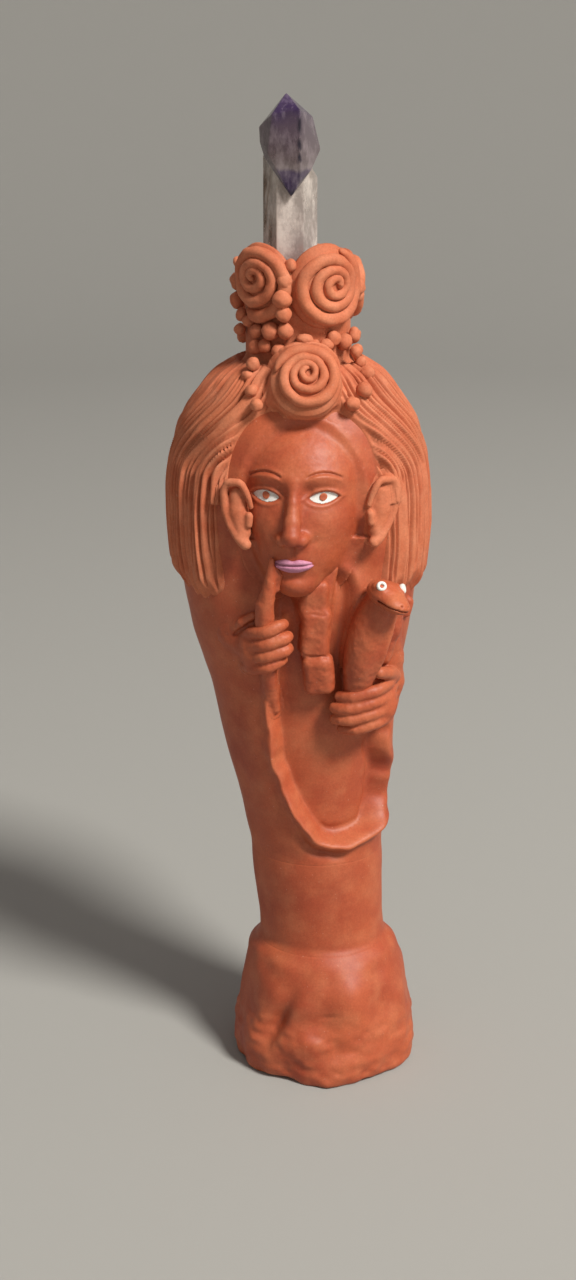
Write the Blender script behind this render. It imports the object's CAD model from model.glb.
import math

import bmesh
import bpy
import numpy as np
from mathutils import Matrix, Vector


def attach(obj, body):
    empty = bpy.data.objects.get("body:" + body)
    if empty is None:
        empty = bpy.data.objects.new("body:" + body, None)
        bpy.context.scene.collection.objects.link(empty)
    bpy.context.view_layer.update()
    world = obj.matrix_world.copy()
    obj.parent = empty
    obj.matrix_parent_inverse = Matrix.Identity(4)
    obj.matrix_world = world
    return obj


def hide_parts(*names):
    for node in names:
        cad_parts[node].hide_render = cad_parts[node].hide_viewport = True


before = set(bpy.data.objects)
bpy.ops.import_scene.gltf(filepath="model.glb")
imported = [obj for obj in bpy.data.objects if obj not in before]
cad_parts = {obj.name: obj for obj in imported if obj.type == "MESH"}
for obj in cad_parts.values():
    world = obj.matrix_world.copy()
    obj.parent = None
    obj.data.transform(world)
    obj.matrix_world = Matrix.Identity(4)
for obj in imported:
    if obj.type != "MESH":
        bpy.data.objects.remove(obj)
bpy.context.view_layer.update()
print("frame loaded:", len(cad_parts), "solids")

# All sculpting below is in millimetres, and each mesh is turned into metres when it is made.
mm = 0.001


def ease(x):
    x = np.clip(x, 0.0, 1.0)
    return x * x * (3.0 - 2.0 * x)


def through(x, xs, ys):
    # smooth curve through stations that never overshoots them
    xs, ys = np.asarray(xs, float), np.asarray(ys, float)
    gap = np.diff(xs)
    rise = np.diff(ys) / gap
    slope = np.zeros(len(xs))
    same = rise[:-1] * rise[1:] > 0
    both = np.where(same, rise[:-1] + rise[1:], 1.0)
    slope[1:-1] = np.where(same, 2.0 * rise[:-1] * rise[1:] / both, 0.0)
    slope[0], slope[-1] = rise[0], rise[-1]
    x = np.clip(x, xs[0], xs[-1])
    i = np.clip(np.searchsorted(xs, x) - 1, 0, len(gap) - 1)
    t = (x - xs[i]) / gap[i]
    a, b = ys[i], ys[i + 1]
    h = gap[i]
    return (
        a * (1 + 2 * t) * (1 - t) ** 2
        + b * t * t * (3 - 2 * t)
        + slope[i] * h * t * (1 - t) ** 2
        - slope[i + 1] * h * t * t * (1 - t)
    )


def scatter(i, j, k, seed):
    # repeatable value in -1..1 for each lattice point
    n = (i * 374761393 + j * 668265263 + k * 1440662683 + seed * 974634777) & 0xFFFFFFFF
    n = ((n ^ (n >> 13)) * 1274126177) & 0xFFFFFFFF
    n = n ^ (n >> 16)
    return (n & 0xFFFF).astype(np.float32) / 32767.5 - 1.0


def lumps(x, y, z, size, seed):
    # soft random lumps, about one per size
    place = [np.asarray(a, np.float32) / size for a in (x, y, z)]
    cell = [np.floor(a).astype(np.int64) for a in place]
    part = [ease(a - c) for a, c in zip(place, cell)]
    total = 0.0
    for di in (0, 1):
        wi = part[0] if di else 1.0 - part[0]
        for dj in (0, 1):
            wj = part[1] if dj else 1.0 - part[1]
            for dk in (0, 1):
                wk = part[2] if dk else 1.0 - part[2]
                corner = scatter(cell[0] + di, cell[1] + dj, cell[2] + dk, seed)
                total = total + wi * wj * wk * corner
    return total


def bump2(x, z, cx, cz, wide, tall, turn=0.0):
    # bell-shaped patch on the front, 1 at its middle
    c, s = math.cos(turn), math.sin(turn)
    u = (x - cx) * c + (z - cz) * s
    v = -(x - cx) * s + (z - cz) * c
    return np.exp(-((u / wide) ** 2) - (v / tall) ** 2)


body = {
    "z": [
        0, 2.2, 10, 22, 34, 42, 46.5, 50, 56, 64, 76, 86, 96, 108, 122, 134, 146, 158, 170, 182, 194, 207,
        219, 230, 241, 250, 257, 262,
    ],
    "width": [
        32.6, 33.8, 34.4, 32.6, 30.4, 27.4, 24.6, 23.0, 23.0, 23.3, 23.9, 24.5, 25.3, 27.0, 29.4, 31.0,
        32.4, 35.3, 38.3, 40.3, 41.5, 42.3, 42.1, 40.6, 37.5, 32.3, 26.9, 19.0,
    ],
    "depth": [
        31.4, 32.4, 33.0, 31.4, 28.6, 25.2, 22.4, 20.6, 20.4, 20.5, 20.8, 21.2, 21.9, 23.0, 24.6, 25.8,
        26.8, 28.3, 30.2, 31.5, 32.4, 33.0, 32.8, 31.8, 29.8, 26.3, 23.0, 19.0,
    ],
    "shift": [
        0, 0, 0, 0, -0.2, -0.6, -0.9, -1.2, -1.6, -2.2, -3.0, -3.6, -4.3, -5.2, -6.3, -7.2, -8.0, -8.8,
        -9.5, -9.9, -10.1, -10.3, -10.5, -10.5, -10.5, -10.5, -10.5, -10.5,
    ],
    "lumpHeight": 0.42,
    "panelDepth": 5.6,
    "hemHeight": 1.7,
}

def roundedOutline(points, rounds=3):
    # cuts the corners of a closed outline until it runs smoothly
    for _ in range(rounds):
        following = points[1:] + points[:1]
        points = [
            (a + (c - a) * share, b + (d - b) * share)
            for (a, b), (c, d) in zip(points, following) for share in (0.25, 0.75)
        ]
    return points


# outline of the opening over the torso, x and height, clockwise from the left fist
opening = [
    (-19.9, 142), (-19.8, 153), (-20.5, 172), (-22, 186), (-19, 197), (-6, 202), (6, 198), (11, 190),
    (9, 172), (8, 158), (12, 150), (19.6, 143), (21.2, 130), (21.0, 119), (21.4, 107), (20.2, 100),
    (17, 95.4), (11.8, 93.2), (6.4, 92.4), (1.1, 92.4), (-2.6, 94.2), (-6.0, 98.5), (-9.4, 104.5),
    (-12.4, 109.5), (-15.4, 114), (-17.4, 122), (-18.9, 132),
]
opening = roundedOutline(opening)

face = {
    "middle": (-9.0, -13.0, 219.2),
    "turn": math.radians(-8.0),
}


def section(z):
    return [through(z, body["z"], body[key]) for key in ("width", "depth", "shift")]


def sectionAt(z):
    return [float(v[0]) for v in section(np.array([z]))]


def edgeDistance(x, z, outline):
    # distance to a closed outline, negative inside it
    far = np.full(np.shape(x), 1e9)
    inside = np.zeros(np.shape(x), bool)
    for (ax, az), (bx, bz) in zip(outline, outline[1:] + outline[:1]):
        lx, lz = bx - ax, bz - az
        t = np.clip(((x - ax) * lx + (z - az) * lz) / (lx * lx + lz * lz), 0.0, 1.0)
        far = np.minimum(far, np.hypot(x - ax - t * lx, z - az - t * lz))
        crosses = ((az > z) != (bz > z)) & (x < (z - az) * lx / (lz if lz else 1e-9) + ax)
        inside ^= crosses
    return np.where(inside, -far, far)


def faceGap(x, z):
    # how far outside the face's opening in the hair a point lies, in shares of its size
    u = np.abs((x + 9.3) / np.where(z > 219, 24.5, 28.0))
    v = np.abs((z - 219) / np.where(z > 219, 31.5, 60.0))
    return (u ** 2.6 + v ** 2.6) ** (1 / 2.6) - 1.0


def footShape(x, y, z, front):
    # finger dents and squeezed-out clay round the foot
    low = ease((50.0 - z) / 6.0)
    rim = ease((16.0 - z) / 12.0)
    push = -2.6 * bump2(x, z, -19.0, 22.0, 2.8, 11.0, -0.5)
    push += 0.9 * bump2(x, z, -26.0, 12.0, 6.0, 11.0)
    push -= 1.1 * bump2(x, z, -4.5, 24.5, 8.0, 4.5, 0.1)
    push -= 0.9 * bump2(x, z, 5.0, 14.0, 9.0, 4.0, 0.2)
    push += 0.9 * bump2(x, z, -7.0, 17.0, 7.0, 5.0)
    push += 1.2 * bump2(x, z, 9.0, 35.0, 8.0, 9.0)
    push += 1.0 * bump2(x, z, 1.5, 3.0, 10.0, 6.0)
    push -= 1.0 * bump2(x, z, 21.0, 26.0, 5.0, 12.0, 0.2)
    wave = 0.9 * lumps(x, y, z * 0.7, 15.0, 11) + 0.5 * lumps(x, y, z, 7.0, 12)
    ledge = 0.9 * np.exp(-((z - 44.0 - 1.5 * lumps(x, y, z * 0, 14.0, 13)) / 3.0) ** 2)
    ledge = ledge * (1.0 - 0.85 * front * ease((20.0 - abs(x + 1.0)) / 12.0))
    nick = 0.5 * lumps(x, y, z * 1.6, 3.6, 14) * ease((30.0 - z) / 14.0)
    scar = -0.8 * bump2(x, z, 1.0, 27.4, 3.2, 0.55, 0.12) - 0.6 * bump2(x, z, 4.5, 6.0, 1.8, 0.5, -0.2)
    return low * (
        1.6 * push * front + 1.45 * wave * (0.7 + 0.5 * rim) + ledge + (scar + nick) * front
        + nick * (1 - front)
    )


def mantleShape(x, z, front):
    # rolled hem and the sunk panel
    edge = edgeDistance(x, z, opening)
    ragged = 0.9 * lumps(x, z, z * 0, 9.0, 22) + 0.35 * lumps(x, z, z * 0, 3.5, 23)
    edge = edge + ragged * ease((170.0 - z) / 20.0)
    wobble = 1.0 + 0.5 * lumps(x, z, z * 0, 6.0, 21)
    hemmed = ease((160.0 - z) / 14.0) * (0.75 + 0.45 * ease((118.0 - z) / 14.0))
    hemmed = hemmed * (1.0 + 0.45 * ease((104.0 - z) / 8.0))
    hem = body["hemHeight"] * wobble * hemmed * np.exp(-((edge - 0.9) / 2.0) ** 2)
    steep = np.where(z > 160, 6.0, 2.3)
    sunk = -body["panelDepth"] * ease(-edge / steep + 0.25)
    under = -1.8 * np.exp(-((edge - 5.0) / 1.7) ** 2) * ease((101.0 - z) / 8.0) * ease((12.0 - x) / 12.0)
    under -= 0.9 * np.exp(-((edge + 2.6) / 0.9) ** 2) * ease((x - 14.0) / 3.0) * ease((130.0 - z) / 6.0)
    under -= 0.6 * np.exp(-((edge + 3.2) / 1.2) ** 2) * ease((100.0 - z) / 4.0)
    ring = np.hypot((x + 9.6) / np.where(z < 208, 19.5, 22.5), (z - 219.5) / 30.0)
    bed = -4.5 * ease((1.0 + 0.16 * ease((x - 1.0) / 4.0) * ease((216.0 - z) / 6.0) - ring) / 0.2)
    throat = -4.6 * bump2(x, z, -28.0, 196.0, 9.0, 13.0, -0.25)
    throat -= 2.8 * bump2(x, z, 11.0, 198.0, 7.0, 9.0, 0.4)
    jaw = -2.2 * np.exp(-((ring - 1.12) / 0.13) ** 2) * ease((212.0 - z) / 10.0)
    return front * (hem + sunk + under + throat + bed + jaw)


def hairCover(x, y, z, front):
    # 1 where hair lies over the mantle
    ragged = 3.0 * lumps(x, y, z * 0, 6.0, 31) + 2.0 * lumps(x, y, z * 0, 2.5, 32)
    low = ease((z - 184.5 - ragged) / 9.0)
    clear = np.where(front > 0, faceGap(x, z), 1.0)
    return low * ease(clear / 0.14)


skin = {"rows": 700, "columns": 1260, "top": 264.0}


def buildSkin():
    # offsets from the plain body, over turn (0 is the front) and height
    turn = np.linspace(-math.pi, math.pi, skin["columns"], endpoint=False)[None, :]
    z = np.linspace(0.0, skin["top"], skin["rows"])[:, None]
    wide, deep, shift = section(z)
    x = shift + wide * np.sin(turn)
    y = -deep * np.cos(turn)
    z = z + 0.0 * turn
    front = ease((np.cos(turn) + 0.08) / 0.34) + 0.0 * z
    plain = body["lumpHeight"] * (lumps(x, y, z * 0.6, 22.0, 1) + 0.45 * lumps(x, y, z, 8.0, 2))
    plain = plain + footShape(x, y, z, front) + mantleShape(x, z, front)
    # fingers smoothed the joint at the waist
    plain -= 0.5 * np.exp(-((z - 86.0) / 5.0) ** 2)
    hair = hairCover(x, y, z, front)
    skin["plain"] = plain.astype(np.float32)
    skin["hair"] = hair.astype(np.float32)
    skin["edge"] = (edgeDistance(x, z, opening) * front + 99 * (1 - front)).astype(np.float32)


def readSkin(key, turn, z):
    table = skin[key]
    turn, z = np.broadcast_arrays(turn, z)
    column = (turn + math.pi) / (2 * math.pi) * skin["columns"]
    row = np.clip(z / skin["top"] * (skin["rows"] - 1), 0, skin["rows"] - 1.001)
    c0, r0 = np.floor(column).astype(int), np.floor(row).astype(int)
    cf, rf = column - c0, row - r0
    c1 = (c0 + 1) % skin["columns"]
    c0 = c0 % skin["columns"]
    low = table[r0, c0] * (1 - cf) + table[r0, c1] * cf
    high = table[r0 + 1, c0] * (1 - cf) + table[r0 + 1, c1] * cf
    return low * (1 - rf) + high * rf


hairHeight = 3.0


def skinField(p):
    # signed distance to the finished body with its hair, as smooth lumps see it
    z = p[2]
    levels = z[0, 0, :]
    wide, deep, shift = section(levels)
    step = 0.5
    slope = (section(levels + step)[0] - section(levels - step)[0]) / (2 * step)
    flat = 1.0 / np.sqrt(1.0 + slope ** 2)
    u = (p[0] - shift) / wide
    v = -p[1] / deep
    ratio = np.hypot(u, v) + 1e-6
    steep = np.hypot(u / wide, v / deep) / ratio
    turn = np.arctan2(u, v)
    offset = readSkin("plain", turn, z) + (hairHeight - 0.25) * readSkin("hair", turn, z)
    return ((ratio - 1.0) / steep - offset) * flat


def frontPlace(x, z):
    # a point on the front of the finished body, with its outward direction
    wide, deep, shift = sectionAt(z)
    turn = math.asin(max(-0.99, min(0.99, (x - shift) / wide)))
    direction = np.array([math.sin(turn) / wide, -math.cos(turn) / deep, 0.0])
    direction /= np.linalg.norm(direction)
    raised = float(readSkin("plain", turn, z)) + hairHeight * float(readSkin("hair", turn, z))
    place = np.array([shift + wide * math.sin(turn), -deep * math.cos(turn), z])
    return place + direction * raised, direction


def readRows(items, key, width, kind=np.float32):
    # one row of values for each point or edge of a mesh
    flat = np.empty(len(items) * width, kind)
    items.foreach_get(key, flat)
    return flat.reshape(-1, width)


def addValue(mesh, name, values, kind="FLOAT", domain="POINT"):
    store = mesh.attributes.new(name, kind, domain)
    key = "value" if kind == "FLOAT" else "vector"
    store.data.foreach_set(key, np.asarray(values, np.float32).reshape(-1))


def newObject(name, data):
    made = bpy.data.objects.new(name, data)
    bpy.context.scene.collection.objects.link(made)
    return made


def addPiece(piece, slot, *nodes, ride="figure"):
    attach(piece, ride)
    if nodes:
        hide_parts(*nodes)


def hollows(points, edges):
    # how sunk each point lies against its neighbours, for dirt and wear
    count = len(points)
    a, b = edges[:, 0], edges[:, 1]
    weight = np.bincount(a, minlength=count) + np.bincount(b, minlength=count)
    weight = np.maximum(weight, 1)

    def spread(values):
        total = np.bincount(a, values[b], minlength=count) + np.bincount(b, values[a], minlength=count)
        return total / weight

    away = np.stack([points[:, i] - spread(points[:, i]) for i in range(3)], 1)
    long = ((points[a] - points[b]) ** 2).sum(1)
    reach = (np.bincount(a, long, minlength=count) + np.bincount(b, long, minlength=count)) / weight
    away = 2.0 * away / (reach + 0.02)[:, None]
    return away, spread


def clayObject(name, points, faces, finish, rounds=3):
    mesh = bpy.data.meshes.new(name)
    points = np.asarray(points, float)
    mesh.from_pydata((points * mm).tolist(), [], faces if isinstance(faces, list) else faces.tolist())
    mesh.validate()
    mesh.update()
    mesh.shade_smooth()
    away, spread = hollows(points, readRows(mesh.edges, "vertices", 2, np.int32))
    sunk = -(away * readRows(mesh.vertices, "normal", 3)).sum(1)
    for _ in range(rounds):
        sunk = 0.5 * sunk + 0.5 * spread(sunk)
    addValue(mesh, "hollow", np.clip(0.5 + 0.3 * sunk, 0.0, 1.0))
    mesh.materials.append(finish)
    return newObject(name, mesh)


def loopFaces(rows, columns, closed=False):
    # quads between stacked rings, and from the last ring to the first when closed
    index = np.arange(rows * columns).reshape(rows, columns)
    above = np.roll(index, -1, 0)
    corners = [index, np.roll(index, -1, 1), np.roll(above, -1, 1), above]
    faces = np.stack(corners, -1)
    return (faces if closed else faces[:-1]).reshape(-1, 4)


def roundSolid(rings):
    # a solid of stacked rings, closed below and above with a fan
    rows, columns, _ = rings.shape
    faces = loopFaces(rows, columns).tolist()
    foot, tip = rows * columns, rows * columns + 1
    points = np.vstack([rings.reshape(-1, 3), rings[0].mean(0), rings[-1].mean(0)])
    last = (rows - 1) * columns
    for i in range(columns):
        j = (i + 1) % columns
        faces.append([j, i, foot])
        faces.append([last + i, last + j, tip])
    return points, faces


def slab(outer, inner):
    # closed sheet between two grids of the same size
    rows, columns, _ = outer.shape
    index = np.arange(rows * columns).reshape(rows, columns)
    back = index + rows * columns
    quads = [np.stack([index[:-1, :-1], index[:-1, 1:], index[1:, 1:], index[1:, :-1]], -1).reshape(-1, 4)]
    quads.append(np.stack([back[:-1, :-1], back[1:, :-1], back[1:, 1:], back[:-1, 1:]], -1).reshape(-1, 4))
    for line, under, flip in (
        (index[0], back[0], False),
        (index[-1], back[-1], True),
        (index[:, 0], back[:, 0], True),
        (index[:, -1], back[:, -1], False),
    ):
        side = np.stack([line[:-1], under[:-1], under[1:], line[1:]], -1)
        quads.append(side[:, ::-1] if flip else side)
    points = np.vstack([outer.reshape(-1, 3), inner.reshape(-1, 3)])
    return points, np.vstack(quads)


def bodyGrid(turns, heights, offsetOf):
    # points on the body for every turn and height, pushed out along its skin
    turns, heights = np.asarray(turns), np.asarray(heights)
    wide, deep, shift = section(heights[:, None])
    flat = np.stack([
        shift + wide * np.sin(turns), -deep * np.cos(turns), heights[:, None] + 0.0 * turns,
    ], -1)
    out = np.stack([np.sin(turns) / wide, -np.cos(turns) / deep, 0.0 * wide * turns], -1)
    out /= np.linalg.norm(out, axis=-1, keepdims=True)
    lift = section(heights[:, None] + 0.5)[0] - section(heights[:, None] - 0.5)[0]
    out[..., 2] = -lift
    out /= np.linalg.norm(out, axis=-1, keepdims=True)
    return flat + out * offsetOf(turns[None, :], heights[:, None] + 0.0 * turns)[..., None]


def clayGrid(low, high, step):
    axes = [np.arange(a, b + step, step, dtype=np.float32) for a, b in zip(low, high)]
    return np.meshgrid(*axes, indexing="ij"), np.array([axis[0] for axis in axes]), step


def rod(p, a, b, ra, rb):
    ab = [b[i] - a[i] for i in range(3)]
    size = sum(v * v for v in ab) + 1e-9
    t = np.clip(sum((p[i] - a[i]) * ab[i] for i in range(3)) / size, 0.0, 1.0)
    gap = sum((p[i] - a[i] - t * ab[i]) ** 2 for i in range(3))
    return np.sqrt(gap) - (ra + t * (rb - ra))


def turnedPlaces(p, m, middle):
    # places as a frame sees them that m turns about its middle
    q = [p[i] - middle[i] for i in range(3)]
    return [sum(m[j][i] * q[j] for j in range(3)) for i in range(3)]


def egg(p, middle, radii):
    q = [p[i] - middle[i] for i in range(3)]
    near = np.sqrt(sum((q[i] / radii[i]) ** 2 for i in range(3)))
    slope = np.sqrt(sum((q[i] / radii[i] ** 2) ** 2 for i in range(3))) + 1e-6
    return near * (near - 1.0) / slope


def meld(a, b, soft):
    h = np.clip(0.5 + 0.5 * (b - a) / soft, 0.0, 1.0)
    return b * (1 - h) + a * h - soft * h * (1 - h)


def carve(a, b, soft):
    return -meld(-a, -b, soft)


def chain(p, knots, soft=0.0):
    # rods through (x, y, z, radius) knots
    total = None
    for a, b in zip(knots, knots[1:]):
        part = rod(p, a[:3], b[:3], a[3], b[3])
        if total is None:
            total = part
        else:
            total = meld(total, part, soft) if soft else np.minimum(total, part)
    return total


def smoothKnots(knots, steps):
    # more knots along the same smooth route
    knots = np.asarray(knots, float)
    far = np.concatenate([[0.0], np.cumsum(np.linalg.norm(np.diff(knots[:, :3], axis=0), axis=1))])
    along = np.linspace(0.0, far[-1], steps * (len(knots) - 1) + 1)
    return np.stack([through(along, far, knots[:, i]) for i in range(knots.shape[1])], 1)


def rolled(p, knots, soft=0.0):
    return chain(p, smoothKnots(knots, 3), soft)


def polygonize(field, low, step):
    # one point per crossed cell, one quad per crossed grid edge
    field = field.copy()
    for axis in range(3):
        edge = [slice(None)] * 3
        for end in (0, -1):
            edge[axis] = end
            field[tuple(edge)] = np.maximum(field[tuple(edge)], 0.05)
    inside = field < 0
    cells = tuple(n - 1 for n in field.shape)
    corners = [(i, j, k) for i in (0, 1) for j in (0, 1) for k in (0, 1)]

    def at(grid, c):
        return grid[c[0]:c[0] + cells[0], c[1]:c[1] + cells[1], c[2]:c[2] + cells[2]]

    count = sum(at(inside, c).astype(np.int8) for c in corners)
    active = (count > 0) & (count < 8)
    where = np.argwhere(active)
    number = np.full(cells, -1, np.int64)
    number[active] = np.arange(len(where))
    values = {c: at(field, c)[active] for c in corners}
    place = np.zeros((len(where), 3))
    hits = np.zeros(len(where))
    for a in corners:
        for axis in range(3):
            if a[axis]:
                continue
            b = tuple(v + (1 if i == axis else 0) for i, v in enumerate(a))
            va, vb = values[a], values[b]
            cross = (va < 0) != (vb < 0)
            t = np.where(cross, va / np.where(cross, va - vb, 1.0), 0.0)
            spot = np.tile(np.array(a, float), (len(where), 1))
            spot[:, axis] += t
            place += spot * cross[:, None]
            hits += cross
    points = low + (where + place / hits[:, None]) * step
    faces = []
    for axis in range(3):
        one, two = [i for i in range(3) if i != axis]
        a = [slice(1, -1)] * 3
        b = [slice(1, -1)] * 3
        a[axis], b[axis] = slice(0, -1), slice(1, None)
        start, end = inside[tuple(a)], inside[tuple(b)]
        for flip, cross in ((False, start & ~end), (True, ~start & end)):
            spots = np.argwhere(cross)
            spots[:, one] += 1
            spots[:, two] += 1
            quad = []
            for do, dt in ((1, 1), (0, 1), (0, 0), (1, 0)):
                cell = spots.copy()
                cell[:, one] -= do
                cell[:, two] -= dt
                quad.append(number[cell[:, 0], cell[:, 1], cell[:, 2]])
            quad = np.stack(quad, 1)
            if flip != (axis == 1):
                quad = quad[:, ::-1]
            faces.append(quad)
    return points, np.vstack(faces)


def seated(field, p, soft=1.6, skirt=3.0, depth=2.5):
    # melts a form into the body's skin, and keeps only a thin skirt of that skin
    ground = skinField(p)
    joined = meld(field, ground + 0.12, soft)
    joined = np.maximum(joined, field - skirt)
    return np.maximum(joined, -(ground + depth))


def roughen(points, normals, height, size, seed):
    x, y, z = points.T
    wave = lumps(x, y, z, size, seed) + 0.5 * lumps(x, y, z, size * 0.45, seed + 1)
    return points + normals * (wave * height)[:, None]


def pressed(name, field, low, step, finish, texture=0.09, seed=5):
    points, faces = polygonize(field, low, step)
    mesh = bpy.data.meshes.new("draft")
    mesh.from_pydata(points.tolist(), [], faces.tolist())
    edges = readRows(mesh.edges, "vertices", 2, np.int32)
    normals = readRows(mesh.vertices, "normal", 3)
    bpy.data.meshes.remove(mesh)
    _, spread = hollows(points, edges)
    points = 0.5 * points + 0.5 * np.stack([spread(points[:, i]) for i in range(3)], 1)
    points = roughen(points, normals, texture, 1.7, seed)
    print("  ", name, len(faces), "quads")
    return clayObject(name, points, faces, finish)


def feed(node, inputs):
    # gives each input of a node a value, or a link when the value comes from another node
    for key, value in inputs.items():
        if isinstance(value, bpy.types.NodeSocket):
            node.id_data.links.new(value, node.inputs[key])
        else:
            node.inputs[key].default_value = value


def addNode(tree, kind, inputs=None, **settings):
    node = tree.nodes.new(kind)
    for key, value in settings.items():
        setattr(node, key, value)
    feed(node, inputs or {})
    return node


def fromNode(tree, kind, inputs=None, **settings):
    return addNode(tree, kind, inputs, **settings).outputs[0]


def noise(tree, place, scale, detail, rough=0.5):
    inputs = {"Vector": place, "Scale": scale, "Detail": detail, "Roughness": rough}
    return addNode(tree, "ShaderNodeTexNoise", inputs).outputs["Fac"]


def ramp(tree, value, stops):
    made = addNode(tree, "ShaderNodeValToRGB", {"Fac": value})
    elements = made.color_ramp.elements
    while len(elements) < len(stops):
        elements.new(0.5)
    for element, (at, colour) in zip(elements, stops):
        element.position = at
        element.color = (*colour, 1)
    return made.outputs["Color"]


def mask(tree, value, dark, bright):
    # black at one level of a value and white at the other
    stops = sorted([(dark, (0, 0, 0)), (bright, (1, 1, 1))])
    return ramp(tree, value, stops)


def mix(tree, amount, one, two, kind="MIX"):
    inputs = {0: amount}
    for at, value in ((6, one), (7, two)):
        inputs[at] = (*value, 1) if isinstance(value, tuple) else value
    return addNode(tree, "ShaderNodeMix", inputs, data_type="RGBA", blend_type=kind).outputs[2]


def times(tree, one, two):
    return fromNode(tree, "ShaderNodeMath", {0: one, 1: two}, operation="MULTIPLY")


def spanned(tree, value, low, high):
    # runs from low to high while the value runs from 0 to 1
    return fromNode(tree, "ShaderNodeMapRange", {"Value": value, "To Min": low, "To Max": high})


def stretched(tree, place, scale):
    return fromNode(tree, "ShaderNodeMapping", {"Vector": place, "Scale": scale})


def meshValue(tree, name):
    return addNode(tree, "ShaderNodeAttribute", attribute_name=name).outputs["Fac"]


def bumped(tree, height, strength, distance):
    inputs = {"Height": height, "Strength": strength, "Distance": distance}
    return fromNode(tree, "ShaderNodeBump", inputs)


def newFinish(name):
    # a material, its nodes, and the place on the object that its patterns follow
    finish = bpy.data.materials.new(name)
    finish.use_nodes = True
    tree = finish.node_tree
    place = addNode(tree, "ShaderNodeTexCoord").outputs["Object"]
    return finish, tree, place


def dress(tree, inputs):
    feed(tree.nodes["Principled BSDF"], inputs)


def clayFinish(name, look):
    # fired clay: cloudy colour, pale dust on edges, dark slip in the hollows, fine grain
    finish, tree, place = newFinish(name)
    cloud = ramp(tree, noise(tree, place, 38.0, 4.0, 0.6), [(0.34, look["deep"]), (0.66, look["base"])])
    patch = mask(tree, noise(tree, place, 120.0, 3.0, 0.55), 0.42, 0.72)
    colour = mix(tree, times(tree, patch, look["patch"]), cloud, look["pale"])
    grey = [(0.3, (0.86, 0.86, 0.86)), (0.75, (1.06, 1.06, 1.06))]
    grain = ramp(tree, noise(tree, place, 1500.0, 2.0, 0.5), grey)
    colour = mix(tree, 1.0, colour, grain, "MULTIPLY")
    sunk = meshValue(tree, "hollow")
    colour = mix(tree, times(tree, mask(tree, sunk, 0.5, 0.95), look["slip"]), colour, look["shade"])
    colour = mix(tree, times(tree, mask(tree, sunk, 0.48, 0.12), look["wear"]), colour, look["pale"])
    specks = mask(tree, noise(tree, place, 1250.0, 1.0, 0.4), 0.76, 0.8)
    colour = mix(tree, times(tree, specks, look["speck"]), colour, (0.62, 0.42, 0.32))
    wiped = stretched(tree, place, (1.0, 1.0, 0.22))
    streaks = times(tree, noise(tree, wiped, 620.0, 3.0), look["streak"])
    bumps = times(tree, noise(tree, place, 1100.0, 4.0, 0.65), 0.5)
    height = fromNode(tree, "ShaderNodeMath", {0: bumps, 1: streaks}, operation="ADD", use_clamp=True)
    dress(tree, {
        "Base Color": colour, "Specular IOR Level": look["shine"],
        "Roughness": spanned(tree, noise(tree, place, 90.0, 3.0, 0.6), look["gloss"], look["gloss"] + 0.22),
        "Normal": bumped(tree, height, look["grain"], 0.0004),
    })
    return finish


claySmooth = {
    "base": (0.45, 0.096, 0.036), "deep": (0.34, 0.056, 0.022), "pale": (0.56, 0.19, 0.085),
    "shade": (0.12, 0.020, 0.010), "patch": 0.35, "slip": 0.55, "wear": 0.3, "speck": 0.3, "gloss": 0.42,
    "shine": 0.42, "grain": 0.22, "streak": 0.4,
}
clayDry = {
    "base": (0.56, 0.170, 0.080), "deep": (0.45, 0.110, 0.050), "pale": (0.66, 0.27, 0.155),
    "shade": (0.14, 0.030, 0.016), "patch": 0.4, "slip": 0.7, "wear": 0.45, "speck": 0.3, "gloss": 0.6,
    "shine": 0.25, "grain": 0.4, "streak": 0.3,
}
smoothClay = clayFinish("burnishedClay", claySmooth)
dryClay = clayFinish("dryClay", clayDry)


def plainFinish(name, colour, roughness):
    finish, tree, _ = newFinish(name)
    dress(tree, {"Base Color": (*colour, 1), "Roughness": roughness})
    return finish


buildSkin()
print("skin shaped")


def frontDense(count, crowd=0.4):
    # turns once round, closer together at the front
    u = np.linspace(-math.pi, math.pi, count, endpoint=False)
    return u - crowd * np.sin(u)


def plainOffset(turn, z):
    return readSkin("plain", turn, z)


seams = {"foot": 47.5, "waist": 84.0, "crown": 262.0, "far": 1.5, "near": 0.12}


def tongue(turns, seam, way):
    # two rings past a seam, up or down, that slip inside the next piece
    far, near = seam + way * seams["far"], seam + way * seams["near"]
    return np.concatenate([
        bodyGrid(turns, np.array([far]), lambda t, z: plainOffset(t, z) - 0.8),
        bodyGrid(turns, np.array([near]), lambda t, z: plainOffset(t, z) - 0.05),
    ])


def makeBodyPart(name, low, high, columns, *nodes, step=0.8):
    turns = frontDense(columns)
    heights = np.linspace(low, high, max(8, int((high - low) / step)))
    rings = bodyGrid(turns, heights, plainOffset)
    if low == 0:
        # the underside is flat and its edge is pressed round
        rings[0, :, 2] = 0.0
        toe = bodyGrid(turns, np.array([0.0]), lambda t, z: plainOffset(t, z) - 1.6)
        toe[0, :, 2] = 0.0
        rings[:, :, 2] = np.maximum(rings[:, :, 2], 0.35 * (np.arange(len(heights)) > 0)[:, None])
        rings = np.concatenate([toe, rings[1:]])
    else:
        rings = np.concatenate([tongue(turns, low, -1), rings])
    # no light shows between this piece and the next
    rings = np.concatenate([rings, tongue(turns, high, 1)[::-1]])
    addPiece(clayObject(name, *roundSolid(rings), smoothClay), "terracotta", *nodes)


def crownSeatTop(last):
    middle = last.mean(0)
    shrunk = ((0.9, 0.4), (0.6, 0.5), (0.3, 0.5))
    return np.stack([middle + (last - middle) * share + np.array([0, 0, rise]) for share, rise in shrunk])


makeBodyPart("foot", 0.0, seams["foot"], 300, "base_slab", "foot_shell")
makeBodyPart("column", seams["foot"], seams["waist"], 260, "trunk_shell")


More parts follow.
